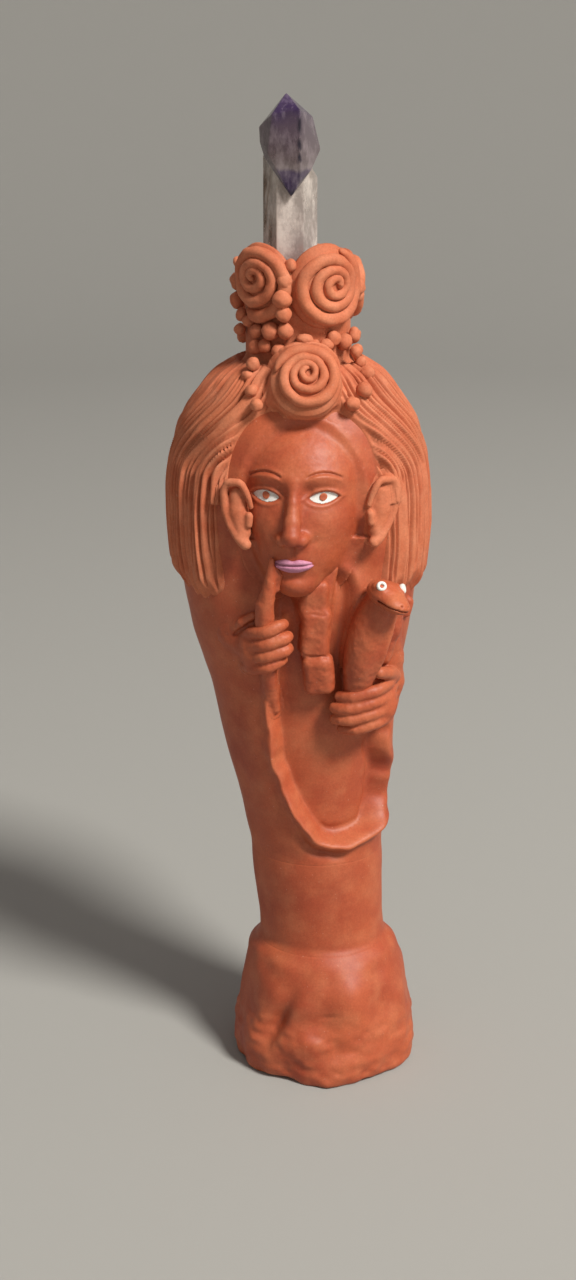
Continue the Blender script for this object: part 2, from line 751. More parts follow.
def makeMantle():
    turns = frontDense(360, 0.5)
    lower = np.linspace(seams["waist"], 200.0, 176)
    heights = np.concatenate([lower, np.linspace(200.0, seams["crown"], 50)[1:]])

    def offset(turn, z):
        # the window is cut deeper than the panel that lies in it
        extra = -2.5 * ease(-readSkin("edge", turn, z) / 2.0 - 0.9)
        return plainOffset(turn, z) + extra

    rings = bodyGrid(turns, heights, offset)
    rings = np.concatenate([tongue(turns, seams["waist"], -1), rings, crownSeatTop(rings[-1])])
    piece = clayObject("mantle", *roundSolid(rings), smoothClay)
    addPiece(piece, "terracotta", "mantle_shell", "hem_roll")


def makePanel():
    turns = np.radians(np.linspace(-62.0, 84.0, 190))
    heights = np.linspace(92.0, 200.0, 170)
    outer = bodyGrid(turns, heights, plainOffset)

    def sinkOffset(turn, z):
        return plainOffset(turn, z) - 0.5 * ease(readSkin("edge", turn, z) + 1.8)

    sink = bodyGrid(turns, heights, sinkOffset)
    # only the floor of the opening stays level with the skin
    edge = readSkin("edge", turns[None, :], heights[:, None])
    outer = np.where((edge > -1.6)[..., None], sink, outer)
    inner = bodyGrid(turns, heights, lambda t, z: plainOffset(t, z) - 4.0)
    addPiece(clayObject("torsoPanel", *slab(outer, inner), smoothClay), "terracotta", "torso_panel")


makeMantle()
makePanel()
print("body done")


hair = {"grooves": 92, "seed": 7, "depth": (0.7, 2.1), "width": (0.26, 0.56), "locks": 0.8}


def faceAngle(z):
    # how far the strands are pushed aside by the face
    return math.radians(41.0) * ease((257.0 - z) / 30.0)


def strandPlace(turn, z):
    away = faceAngle(z)
    return np.sign(turn) * (np.abs(turn) - away) / (math.pi - away)


def strandRelief(turn, z):
    rng = np.random.default_rng(hair["seed"])
    turn = (turn + math.pi) % (2 * math.pi) - math.pi
    place = strandPlace(turn, z)
    wide, deep, _ = section(z)
    across = (math.pi - faceAngle(z)) * (wide + deep) / 2.0
    relief = 0.0 * turn + 0.0 * z
    # strands that run sideways crowd together, so a cut there is narrower and then fades
    lean = (strandPlace(turn, z + 0.4) - place) * across / 0.4
    crowd = 1.0 / np.sqrt(1.0 + lean ** 2)
    across = across * crowd
    faint = ease((crowd - 0.22) / 0.35)
    spots = np.linspace(-1.0, 1.0, hair["grooves"]) + rng.normal(0, 0.0045, hair["grooves"])
    for spot in spots:
        depth = rng.uniform(*hair["depth"])
        width = rng.uniform(*hair["width"])
        phase, bend = rng.uniform(0, 6.28), rng.uniform(0.0, 0.5)
        start, stop = 265.0 - rng.uniform(0, 5), 183.0 + rng.uniform(0, 14)
        if rng.random() < 0.22:
            stop += rng.uniform(10, 35)
        if rng.random() < 0.2:
            start -= rng.uniform(5, 22)
        drift = (np.sin(z / 13.0 + phase) * bend + 0.25 * np.sin(z / 7.0 + 2 * phase)) * crowd / across
        gap = (place - spot - drift) * across
        shown = ease((start - z) / 6.0) * ease((z - stop) / 5.0)
        shown = shown * faint
        relief -= depth * shown * np.exp(-(gap / width) ** 2)
        relief += 0.24 * shown * np.exp(-((np.abs(gap) - 2.2 * width) / (1.2 * width)) ** 2)
    side = place * 30.0
    locks = np.sin(side * 2.1 + 1.3 * np.sin(z / 21.0)) + 0.6 * np.sin(side * 5.3 + z / 17.0)
    return relief + hair["locks"] * 0.55 * locks * ease((266 - z) / 20.0)


def makeHair(name, start, stop, columns, node):
    turns = np.radians(np.linspace(start, stop, columns))
    lower = np.linspace(176.0, 240.0, 84)
    heights = np.concatenate([lower, np.linspace(240.0, seams["crown"], 40)[1:]])

    def offset(turn, z):
        turn, z = turn + 0.0 * z, z + 0.0 * turn
        cover = readSkin("hair", turn, z)
        grooves = strandRelief(turn, z)
        lift = hairHeight * cover + grooves * ease(cover * 1.6)
        return readSkin("plain", turn, z) + np.maximum(lift, -0.3) - 0.6 * (1 - ease(cover * 6.0))

    outer = bodyGrid(turns, heights, offset)
    inner = bodyGrid(turns, heights, lambda t, z: plainOffset(t, z) - 1.8)
    addPiece(clayObject(name, *slab(outer, inner), dryClay), "terracotta", node)


makeHair("hairRight", -120.0, 0.0, 330, "hair_right")
makeHair("hairLeft", 0.0, 120.0, 330, "hair_left")
makeHair("hairBack", 120.0, 240.0, 300, "hair_back")
print("hair done")


def over(knots):
    # (x, height, distance out, radius) knots over the bare body, as places in space
    made = []
    for x, z, out, radius in knots:
        wide, deep, shift = sectionAt(z)
        turn = math.asin(max(-0.985, min(0.985, (x - shift) / wide)))
        away = np.array([math.sin(turn) / wide, -math.cos(turn) / deep, 0.0])
        away /= np.linalg.norm(away)
        place = np.array([shift + wide * math.sin(turn), -deep * math.cos(turn), z]) + away * out
        made.append((*place, radius))
    return made


def placeOver(x, z, out):
    return over([(x, z, out, 0)])[0][:3]


def gridRound(knots, margin, step):
    knots = np.asarray(knots, float)
    low = (knots[:, :3] - knots[:, 3:4]).min(0) - margin
    high = (knots[:, :3] + knots[:, 3:4]).max(0) + margin
    return clayGrid(low, high, step)


def headAxes(p):
    # across, outwards (negative is forward) and up in the face's own frame
    c, s = math.cos(face["turn"]), math.sin(face["turn"])
    x, y, z = (p[i] - face["middle"][i] for i in range(3))
    return c * x + s * y, -s * x + c * y, z


features = {
    "eyeAcross": 9.6, "eyeUp": 4.2, "eyeHalf": 4.9, "eyeTall": 1.9,
    "browAcross": 9.8, "browUp": 12.4, "browHalf": 6.2, "browBend": 0.055,
    "mouthUp": -18.0, "mouthHalf": 7.0, "upperLip": 2.2, "lowerLip": 2.7,
}


def almond(u, w):
    # signed distance to the nearer eye's outline
    half, tall = features["eyeHalf"], features["eyeTall"]
    radius = (half * half + tall * tall) / (2 * tall)
    x = np.abs(u) - features["eyeAcross"]
    z = w - features["eyeUp"] - 0.05 * x
    drop = radius - tall
    return np.maximum(np.hypot(x, z + drop), np.hypot(x, z - drop)) - radius


def lipOutline(u):
    half = features["mouthHalf"]
    share = np.clip(1 - (u / half) ** 2, 0, 1)
    bow = 1 - 0.28 * np.exp(-(u / 1.3) ** 2)
    upper = features["upperLip"] * share ** 0.75 * bow
    lower = features["lowerLip"] * share ** 0.6
    line = features["mouthUp"] + 0.02 * np.abs(u)
    return line, upper, lower


def soft(u, w, across, up, wide, tall):
    return np.exp(-((np.abs(u) - across) / wide) ** 2 - ((w - up) / tall) ** 2)


def faceRelief(u, w, pocket):
    eye = almond(u, w)
    side = np.abs(u) - features["browAcross"]
    arc = features["browUp"] - features["browBend"] * side ** 2 - 0.06 * side
    brow = ease((features["browHalf"] - np.abs(side)) / 1.2)
    relief = -0.75 * brow * np.exp(-((w - arc) / 0.42) ** 2)
    relief += 0.25 * brow * np.exp(-((np.abs(w - arc) - 1.0) / 0.6) ** 2)
    relief += 0.9 * soft(u, w, 9.0, 10.4, 6.5, 2.6)
    relief -= 1.7 * soft(u, w, 9.0, 5.0, 5.6, 4.2)
    relief -= 1.1 * soft(u, w, 4.6, 5.6, 2.0, 3.0)
    relief += 0.85 * np.exp(-((eye - 0.8) / 0.6) ** 2) * (0.55 + 0.45 * ease((w - 3.2) / 2.0))
    relief += 1.1 * soft(u, w, 13.0, -5.0, 6.5, 6.5)
    relief += 1.2 * soft(u, w, 0.0, -18.0, 9.5, 7.0)
    relief -= 0.4 * soft(u, w, 0.0, -13.2, 0.9, 2.4)
    relief += 0.18 * soft(u, w, 1.5, -13.2, 0.8, 2.4)
    relief -= 0.9 * soft(u, w, 0.0, -22.6, 5.0, 1.7)
    relief += 1.5 * soft(u, w, 0.0, -26.6, 5.5, 4.0)
    relief -= 0.7 * soft(u, w, 20.0, 6.0, 4.0, 8.0)
    fold = (np.abs(u) - 5.4) * 0.82 + (w + 10.5) * 0.57
    off = (np.abs(u) - 5.4) * 0.57 - (w + 10.5) * 0.82
    relief -= 0.4 * np.exp(-((off - 0.5) / 1.4) ** 2) * ease((fold + 2) / 3) * ease((4.5 - fold) / 3)
    if pocket:
        relief -= 0.75 * ease(-eye / 0.55 + 0.3)
    return relief


def faceField(p, pocket):
    u, v, w = headAxes(p)
    q = (u, v, w)
    skull = egg(q, (0.0, 1.0, 6.0), (23.8, 24.8, 24.0))
    jaw = egg(q, (0.0, -6.2, -11.5), (16.6, 18.4, 19.2))
    field = meld(skull, jaw, 8.0)
    field = meld(field, egg(q, (0.0, -17.0, -25.0), (6.6, 5.2, 5.4)), 5.0)
    nose = chain(q, [
        (0, -21.8, 9.0, 1.9), (0, -24.3, 3.0, 2.1), (0, -26.9, -3.0, 2.4), (0, -28.5, -7.4, 2.9),
    ], 1.0)
    for side in (-1, 1):
        nose = meld(nose, egg(q, (side * 3.0, -26.0, -8.9), (2.3, 3.0, 2.0)), 1.1)
    field = meld(field, nose, 2.4)
    front = ease((-v - 6.0) / 8.0)
    field = field - faceRelief(u, w, pocket) * front
    for side in (-1, 1):
        field = carve(field, -egg(q, (side * 1.75, -27.8, -11.3), (0.95, 1.5, 1.2)), 0.5)
    return field


def makeHead():
    x, y, z = face["middle"]
    p, origin, step = clayGrid((x - 30, y - 34, z - 33.5), (x + 30, y + 2, z + 33.5), 0.42)
    field = seated(faceField(p, True), p, 4.5, 4.8, 3.0)
    addPiece(pressed("head", field, origin, step, smoothClay, 0.06), "terracotta", "head", "nose")


def makeEyes():
    c, s = math.cos(face["turn"]), math.sin(face["turn"])
    for name, side in (("Right", -1), ("Left", 1)):
        u, v = side * features["eyeAcross"], -20.5
        x = face["middle"][0] + c * u - s * v
        y = face["middle"][1] + s * u + c * v
        z = face["middle"][2] + features["eyeUp"]
        p, origin, step = clayGrid((x - 6.5, y - 5, z - 3.4), (x + 6.5, y + 4.5, z + 3.4), 0.22)
        u, _, w = headAxes(p)
        plain = faceField(p, False)
        rim = almond(u, w) + 0.02
        across = np.abs(u) - features["eyeAcross"]
        swell = np.exp(-(across / 3.5) ** 2)
        white = np.maximum(np.maximum(plain + 0.42 - 0.5 * swell, rim), -(plain + 2.6))
        paint = pressed("eyeWhite" + name, white, origin, step, eyePaint, 0.03)
        addPiece(paint, "terracotta")
        disc = np.hypot(across + 0.1, w - features["eyeUp"] - 0.25) - 1.25
        dot = np.maximum(np.maximum(plain - 0.45 * swell, rim), disc)
        dot = np.maximum(dot, -(plain + 2.2))
        addPiece(pressed("iris" + name, dot, origin, step, smoothClay, 0.02), "terracotta")


def makeLips():
    c, s = math.cos(face["turn"]), math.sin(face["turn"])
    x, y = face["middle"][0] + 24.0 * s, face["middle"][1] - 24.0 * c
    z = face["middle"][2] + features["mouthUp"]
    p, origin, step = clayGrid((x - 9, y - 6, z - 5), (x + 9, y + 6, z + 4.5), 0.25)
    u, _, w = headAxes(p)
    line, upper, lower = lipOutline(u)
    above = w - line
    share = np.where(above > 0, above / np.maximum(upper, 0.05), -above / np.maximum(lower, 0.05))
    thin = np.clip(np.where(above > 0, upper, lower) / 1.6, 0, 1)
    raised = 1.35 * np.sqrt(np.clip(1 - share ** 2, 0, 1)) * thin
    raised -= 0.85 * np.exp(-(above / 0.38) ** 2)
    outline = np.maximum(above - upper, -above - lower)
    plain = faceField(p, False)
    field = np.maximum(np.maximum(plain - raised, outline), -(plain + 1.4))
    addPiece(pressed("lips", field, origin, step, lipPaint, 0.05), "lip_paint", "lips")


def makeEar(name, side, node):
    # side 1 is the figure's left ear; the other is its mirror across the face
    def place(knots):
        return over([(x if side > 0 else -13.6 - x, z, out, r) for x, z, out, r in knots])

    rim = place([
        (12.4, 219.5, 0.8, 0.9), (13.4, 224.3, 2.0, 1.1), (15.6, 227.6, 2.7, 1.3), (18.6, 227.4, 2.8, 1.35),
        (20.5, 223.6, 2.5, 1.3), (20.2, 217.6, 2.1, 1.25), (18.4, 212.2, 1.9, 1.25), (15.8, 208.4, 1.9, 1.6),
        (13.9, 206.8, 1.7, 1.9),
    ])
    inner = place([
        (17.6, 223.0, 1.5, 0.8), (17.7, 218.5, 1.5, 0.85), (16.4, 213.6, 1.4, 0.9), (14.9, 210.4, 1.4, 0.9),
    ])
    flap = place([(12.8, 216.4, 1.2, 1.3), (13.0, 213.4, 1.2, 1.2)])
    p, origin, step = gridRound(rim, 4.5, 0.4)
    field = rolled(p, rim)
    plate = place([(16.8, 223.2, -0.4, 2.9), (17.0, 217.5, -0.5, 3.2), (15.2, 210.5, -0.2, 2.6)])
    plate = chain(p, plate, 1.0)
    field = meld(field, plate, 1.5)
    field = meld(field, rolled(p, inner), 1.3)
    field = meld(field, chain(p, flap), 1.3)
    field = seated(field, p, 2.2, 2.5, 2.4)
    addPiece(pressed(name, field, origin, step, dryClay, 0.08, 9), "terracotta", node)


def makeRightHand():
    knots = over([(-35, 182, 0, 2), (-12, 155, 5, 3), (-13, 182, 5, 3), (-33, 160, 2, 3)])
    p, origin, step = gridRound(knots, 3.5, 0.42)
    field = egg(p, placeOver(-24.0, 169.5, -0.6), (7.0, 5.6, 9.6))
    wrist = chain(p, over([(-30.5, 169.0, -2.6, 4.6), (-34.5, 172.0, -3.6, 4.8)]), 1.0)
    field = meld(field, wrist, 3.0)
    for z, reach, wide in (
        (177.3, -15.4, 2.25), (172.7, -14.0, 2.45), (168.2, -13.9, 2.45), (163.9, -15.6, 2.2),
    ):
        finger = over([
            (-28.4, z - 2.9, 0.0, wide - 0.3), (-24.6, z - 1.5, 2.9, wide), (-19.6, z + 0.2, 4.6, wide),
            (reach - 1.2, z + 1.6, 2.9, wide - 0.15), (reach, z + 1.8, 0.6, wide - 0.5),
        ])
        field = meld(field, rolled(p, finger), 0.55)
    lip = chain(p, over([(-33.5, 174.4, -0.2, 1.2), (-29.5, 178.2, 0.5, 1.5), (-25.2, 181.6, 1.0, 1.3)]), 0.8)
    field = meld(field, lip, 1.6)
    slit = chain(p, over([(-32.0, 173.2, 0.6, 0.55), (-28.6, 176.3, 1.3, 0.85), (-25.0, 179.4, 2.2, 0.6)]))
    field = seated(field, p, 2.2, 2.5, 3.0)
    field = carve(field, -slit, 0.5)
    # the pin-prick hole that lets air out
    hole = rod(p, placeOver(-28.2, 160.3, 1.5), placeOver(-27.8, 160.8, -2.0), 0.5, 0.5)
    field = carve(field, -hole, 0.3)
    piece = pressed("rightHand", field, origin, step, smoothClay, 0.1, 13)
    addPiece(piece, "terracotta", "right_hand", "right_cuff")


def makeLeftHand():
    knots = over([(0, 134, 4, 3), (24, 134, 3, 3), (24, 174, 0, 4), (3, 164, 5, 3)])
    p, origin, step = gridRound(knots, 3.5, 0.42)
    field = egg(p, placeOver(14.0, 146.0, 0.4), (10.0, 6.4, 9.0))
    arm = chain(p, over([
        (22.6, 170.0, -3.4, 4.6), (23.8, 160.0, -2.8, 5.0),
        (23.6, 150.0, -2.0, 5.2), (22.6, 140.5, -2.6, 4.6),
    ]), 2.0)
    field = meld(field, arm, 3.0)
    for z, reach, wide in ((152.6, 3.6, 2.3), (148.4, 2.0, 2.45), (144.1, 2.2, 2.4), (140.0, 4.6, 2.25)):
        finger = over([
            (22.6, z + 1.9, 0.4, wide - 0.2), (17.6, z + 1.4, 4.2, wide), (11.6, z + 0.5, 6.0, wide),
            (reach + 3.2, z - 1.1, 4.0, wide - 0.1), (reach, z - 1.6, 0.2, wide - 0.5),
        ])
        field = meld(field, rolled(p, finger), 0.95)
    thumb = over([(21.8, 154.2, 1.4, 2.7), (18.2, 157.8, 4.2, 2.5), (13.6, 160.2, 6.8, 2.0)])
    field = meld(field, rolled(p, thumb), 0.7)
    field = seated(field, p, 2.2, 2.5, 3.5)
    piece = pressed("leftHand", field, origin, step, smoothClay, 0.1, 17)
    addPiece(piece, "terracotta", "left_hand", "left_forearm")


def makeTail():
    knots = over([
        (-19.9, 145.0, -3.4, 2.2), (-20.2, 152.0, -1.4, 2.6), (-20.6, 160.0, 0.4, 2.9),
        (-21.4, 178.0, 1.6, 3.3), (-21.4, 184.5, 2.4, 3.2), (-20.0, 190.5, 3.2, 2.5),
        (-19.3, 196.5, 3.8, 1.8), (-18.8, 202.6, 4.2, 1.0),
    ])
    p, origin, step = gridRound(knots, 3.5, 0.42)
    field = rolled(p, knots)
    side = chain(p, over([(-17.2, 192.0, 2.0, 1.1), (-16.8, 197.0, 2.6, 1.2), (-17.4, 199.6, 3.0, 0.8)]), 0.8)
    field = meld(field, side, 1.0)
    field = seated(field, p, 1.8, 2.1, 2.6)
    addPiece(pressed("serpentTail", field, origin, step, smoothClay, 0.14, 19), "terracotta", "serpent_tail")


def makeSerpent():
    knots = over([
        (9.4, 148.0, -0.6, 4.2), (9.8, 156.5, 1.0, 5.4), (10.4, 165.0, 2.0, 6.3), (11.8, 173.5, 2.6, 6.6),
        (13.6, 181.0, 3.2, 6.0), (15.8, 187.0, 4.4, 4.8),
    ])
    p, origin, step = gridRound(knots, 6.5, 0.42)
    field = rolled(p, knots)
    # pinched ridge along the front of the neck, and the slope behind it
    ridge = rolled(p, over([
        (12.4, 160.5, 6.2, 0.8), (14.0, 168.0, 8.4, 0.9), (16.2, 177.0, 8.4, 0.9), (17.8, 184.0, 8.0, 0.8),
    ]))
    field = meld(field, ridge, 2.6)
    slope = over([(19.5, 163.0, -1.6, 3.6), (21.6, 174.0, -1.2, 4.4), (22.6, 184.0, -1.0, 4.4)])
    slope = chain(p, slope, 2.0)
    field = meld(field, slope, 4.0)
    knob = chain(p, over([(26.8, 177.0, 0.6, 1.6), (27.6, 181.0, 0.6, 1.5)]), 0.8)
    field = meld(field, knob, 1.4)
    field = seated(field, p, 2.0, 2.3, 3.0)
    addPiece(pressed("serpentNeck", field, origin, step, smoothClay, 0.16, 23), "terracotta", "serpent_neck")


serpentSkull = {"middle": (19.6, -33.6, 189.2), "turn": 36.0, "nod": 12.0, "roll": 16.0}


def serpentAxes(p):
    turn = Matrix.Rotation(math.radians(serpentSkull["turn"]), 3, "Z")
    turn = turn @ Matrix.Rotation(math.radians(serpentSkull["nod"]), 3, "X")
    turn = turn @ Matrix.Rotation(math.radians(serpentSkull["roll"]), 3, "Y")
    m = np.array(turn)
    return turnedPlaces(p, m, serpentSkull["middle"]), m


def makeSerpentHead():
    c = serpentSkull["middle"]
    p, origin, step = clayGrid([v - 13.5 for v in c], [v + 13.5 for v in c], 0.36)
    q, m = serpentAxes(p)
    skull = egg(q, (0, 2.0, 0.2), (6.4, 6.6, 4.3))
    snout = egg(q, (0, -4.6, -0.8), (4.9, 4.8, 3.0))
    field = meld(skull, snout, 2.6)
    for side in (-1, 1):
        brow = egg(q, (side * 4.2, 1.2, 2.4), (2.3, 2.6, 1.8))
        field = meld(field, brow, 1.2)
    # mouth cut round the snout, and two nostrils
    mouth = np.abs(q[2] + 1.55 + 0.02 * q[1]) - 0.22
    mouth = np.maximum(mouth, q[1] + 0.5)
    mouth = np.maximum(mouth, -(field + 0.95))
    field = carve(field, -mouth, 0.25)
    for side in (-1, 1):
        field = carve(field, -egg(q, (side * 1.5, -8.8, 0.2), (0.45, 0.8, 0.45)), 0.3)
    neck = chain(p, over([(13.8, 181.0, 3.2, 4.6), (16.8, 187.6, 4.6, 4.4)]), 1.0)
    field = meld(field, neck, 2.5)
    field = seated(field, p, 1.5, 1.8, 2.5)
    addPiece(pressed("serpentHead", field, origin, step, smoothClay, 0.12, 29), "terracotta", "serpent_head")
    for name, side, node in (("beadRight", -1, "serpent_eye_right"), ("beadLeft", 1, "serpent_eye_left")):
        spot = np.array([side * 4.8, 0.3, 3.2])
        away = np.array([side * 0.55, -0.66, 0.51])
        centre = np.array(c) + m @ (spot + 0.35 * away)
        makeBead(name, centre, m @ away, node)


def roundProfile(profile, sides, facing, centre):
    # a solid of rings round an axis, from (radius, rise) pairs
    rings = []
    for radius, rise in profile:
        turns = np.linspace(0, 2 * math.pi, sides, endpoint=False)
        ring = [facing @ Vector((radius * math.cos(a), radius * math.sin(a), rise)) for a in turns]
        rings.append([tuple(np.array(v) + centre) for v in ring])
    return roundSolid(np.array(rings))


beadRing = [
    (0.55, -1.0), (1.1, -1.15), (1.62, -0.75), (1.78, 0.0), (1.62, 0.62), (1.2, 0.92), (0.8, 0.8),
    (0.62, 0.35), (0.6, -0.2),
]
beadHole = [(0.5, -0.7), (0.66, -0.4), (0.62, 0.05), (0.35, 0.2)]


def makeBead(name, centre, away, node):
    # a glass ring bead with its dark hole
    facing = Vector(away).to_track_quat("Z", "Y").to_matrix()
    addPiece(clayObject(name, *roundProfile(beadRing, 32, facing, centre), beadGlass), "bead", node)
    addPiece(clayObject(name + "Hole", *roundProfile(beadHole, 24, facing, centre), darkHole), "bead")


def slabField(p, centre, half, tilt, edge):
    # rounded block, turned about x and z
    turn = Matrix.Rotation(tilt[1], 3, "Z") @ Matrix.Rotation(tilt[0], 3, "X")
    turn = turn @ Matrix.Rotation(tilt[2], 3, "Y")
    q = turnedPlaces(p, np.array(turn), centre)
    d = [np.abs(q[i]) - (half[i] - edge) for i in range(3)]
    far = np.sqrt(sum(np.maximum(v, 0) ** 2 for v in d))
    return far + np.minimum(np.maximum(np.maximum(d[0], d[1]), d[2]), 0) - edge


def makePectoral():
    p, origin, step = clayGrid((-14, -38, 147), (6, -18, 196), 0.4)
    top = placeOver(-4.8, 187.0, -4.2)
    field = slabField(p, top, (5.0, 3.4, 7.0), (0.10, 0.05, 0.05), 2.9)
    middle = placeOver(-4.3, 174.4, -3.3)
    field = meld(field, slabField(p, middle, (5.2, 3.4, 9.2), (0.10, -0.02, 0.07), 2.9), 1.8)
    end = placeOver(-3.2, 159.4, -2.2)
    field = meld(field, slabField(p, end, (5.4, 3.7, 7.6), (0.20, -0.10, -0.10), 3.0), 0.8)
    for z, bend in ((182.0, 0.10), (177.2, -0.12), (166.6, -0.16)):
        x, y, _ = placeOver(-4.0, z, 0.9)
        reach = 0.5 if z != 177.2 else 0.1
        down = p[2] - z - bend * (p[0] - x) - 0.5 * np.sin(p[0] * 0.7 + z)
        groove = np.hypot(down, (p[1] - y) * 0.42) - reach
        field = carve(field, -groove, 0.5)
    flake = lumps(p[0], p[1], p[2] * 0.7, 3.4, 41) * 0.4 + lumps(p[0], p[1], p[2], 1.3, 42) * 0.14
    field = seated(field - flake * 0.7, p, 1.6, 1.9, 2.6)
    piece = pressed("pectoral", field, origin, step, smoothClay, 0.12, 31)
    addPiece(piece, "terracotta", "pectoral", "pectoral_end")


def makeNeck():
    knots = over([(-5.0, 199.0, -8.5, 7.2), (-4.8, 189.0, -8.6, 7.0), (-4.4, 181.0, -9.6, 6.4)])
    p, origin, step = gridRound(knots, 4.0, 0.5)
    field = chain(p, knots, 1.0)
    field = meld(field, chain(p, over([(-12.0, 197.0, -5.0, 1.6), (-7.0, 181.0, -4.2, 1.2)])), 1.5)
    field = meld(field, chain(p, over([(2.6, 197.0, -5.0, 1.6), (-0.6, 181.0, -4.2, 1.2)])), 1.5)
    field = seated(field, p, 2.0, 2.3, 3.0)
    addPiece(pressed("neck", field, origin, step, smoothClay, 0.12, 37), "terracotta", "neck")


eyePaint = clayFinish("eyePaint", {
    "base": (0.78, 0.77, 0.74), "deep": (0.66, 0.63, 0.60), "pale": (0.84, 0.84, 0.83),
    "shade": (0.30, 0.14, 0.09), "patch": 0.4, "slip": 0.5, "wear": 0.0, "speck": 0.0, "gloss": 0.45,
    "shine": 0.35, "grain": 0.3, "streak": 0.6,
})
lipPaint = clayFinish("lipPaint", {
    "base": (0.56, 0.245, 0.37), "deep": (0.47, 0.18, 0.28), "pale": (0.64, 0.33, 0.45),
    "shade": (0.17, 0.05, 0.06), "patch": 0.4, "slip": 0.8, "wear": 0.1, "speck": 0.0, "gloss": 0.5,
    "shine": 0.3, "grain": 0.35, "streak": 0.6,
})
beadGlass = clayFinish("beadGlass", {
    "base": (0.80, 0.79, 0.74), "deep": (0.62, 0.61, 0.58), "pale": (0.86, 0.86, 0.84),
    "shade": (0.10, 0.06, 0.04), "patch": 0.5, "slip": 0.7, "wear": 0.0, "speck": 0.0, "gloss": 0.12,
    "shine": 0.6, "grain": 0.1, "streak": 0.2,
})
darkHole = clayFinish("darkHole", {
    "base": (0.012, 0.009, 0.008), "deep": (0.006, 0.005, 0.005), "pale": (0.02, 0.015, 0.012),
    "shade": (0.004, 0.003, 0.003), "patch": 0.2, "slip": 0.3, "wear": 0.0, "speck": 0.0, "gloss": 0.5,
    "shine": 0.3, "grain": 0.2, "streak": 0.2,
})

makeHead()
makeEyes()
makeLips()
makeEar("earRight", -1, "right_ear")
makeEar("earLeft", 1, "left_ear")
print("head done")
makeNeck()
makePectoral()
makeRightHand()
makeLeftHand()
makeTail()
makeSerpent()
makeSerpentHead()
print("hands and serpent done")


crown = {
    "middle": (-10.5, 0.0), "low": 261.6, "outer": 17.5, "inner": 14.4, "back": 299.4, "front": 290.5,
}


def makeCrownRing():
    turns = np.linspace(-math.pi, math.pi, 240, endpoint=False)
    top = crown["front"] + (crown["back"] - crown["front"]) * ease(0.5 - 0.62 * np.cos(turns + 0.35))
    top = top + 0.5 * lumps(np.sin(turns) * 20, np.cos(turns) * 20, turns * 0, 9.0, 51)
    profile = []
    for z in np.linspace(0.0, 1.0, 46):
        flare = 1.6 * (1 - ease(z * 9)) + 0.25 * z
        profile.append((crown["outer"] + flare, z, 0.0))
    half = (crown["outer"] - crown["inner"]) / 2
    for a in np.linspace(0, math.pi, 9)[1:-1]:
        profile.append((crown["inner"] + half + 0.25 + half * math.cos(a), 1.0, half * 0.9 * math.sin(a)))
    for z in np.linspace(1.0, 0.0, 40):
        profile.append((crown["inner"], z, 0.0))
    rings = []
    for radius, share, rise in profile:
        z = crown["low"] + (top - 1.4 - crown["low"]) * share + rise
        x, y = np.sin(turns), -np.cos(turns)
        wave = 0.45 * lumps(x * radius, y * radius, z, 9.0, 52)
        wave = wave + 0.2 * lumps(x * radius, y * radius, z, 3.5, 53)
        r = radius + wave
        rings.append(np.stack([crown["middle"][0] + x * r, crown["middle"][1] + y * r, z], -1))
    faces = loopFaces(len(rings), len(turns), closed=True)
    points = np.array(rings).reshape(-1, 3)
    addPiece(clayObject("crownRing", points, faces, dryClay), "terracotta", "crown_ring")


def makeSeat():
    # collar that holds the crystal's root upright
    turns = np.linspace(-math.pi, math.pi, 96, endpoint=False)
    rings = []
    # radius and height, from the outer foot over the rim to the inner foot
    profile = [
        (13.6, 262.6), (13.8, 264.5), (13.7, 266.6), (13.0, 267.6),
        (11.6, 267.8), (10.6, 267.2), (10.3, 265.8), (10.3, 262.8),
    ]
    for radius, z in profile:
        x, y = np.sin(turns), -np.cos(turns)
        wave = 0.25 * lumps(x * radius, y * radius, z + turns * 0, 4.0, 57)
        middle, wide, deep = (-10.5, 1.0, 1.0) if radius > 12.5 else (-12.4, 0.93, 0.9)
        r = radius + wave
        rings.append(np.stack([middle + x * r * wide, y * r * deep, z + 0.2 * wave], -1))
    faces = loopFaces(len(rings), len(turns), closed=True)
    points = np.array(rings).reshape(-1, 3)
    addPiece(clayObject("crystalSeat", points, faces, dryClay), "terracotta", "crystal_seat")


def onCrown(turn, height, out):
    radius = crown["outer"] + 0.3 + out
    return np.array([
        crown["middle"][0] + radius * math.sin(turn), crown["middle"][1] - radius * math.cos(turn),
        262.3 + height,
    ])


def socketNumber(group, name):
    for item in group.interface.items_tree:
        if item.name == name and item.in_out == "INPUT":
            return item.identifier


def newTree(name, inputs):
    tree = bpy.data.node_groups.new(name, "GeometryNodeTree")
    tree.interface.new_socket(name="Geometry", in_out="INPUT", socket_type="NodeSocketGeometry")
    for label, kind, value in inputs:
        made = tree.interface.new_socket(name=label, in_out="INPUT", socket_type="NodeSocket" + kind)
        if value is not None:
            made.default_value = value
    tree.interface.new_socket(name="Geometry", in_out="OUTPUT", socket_type="NodeSocketGeometry")
    entry = tree.nodes.new("NodeGroupInput")
    leave = tree.nodes.new("NodeGroupOutput")
    return tree, entry, leave


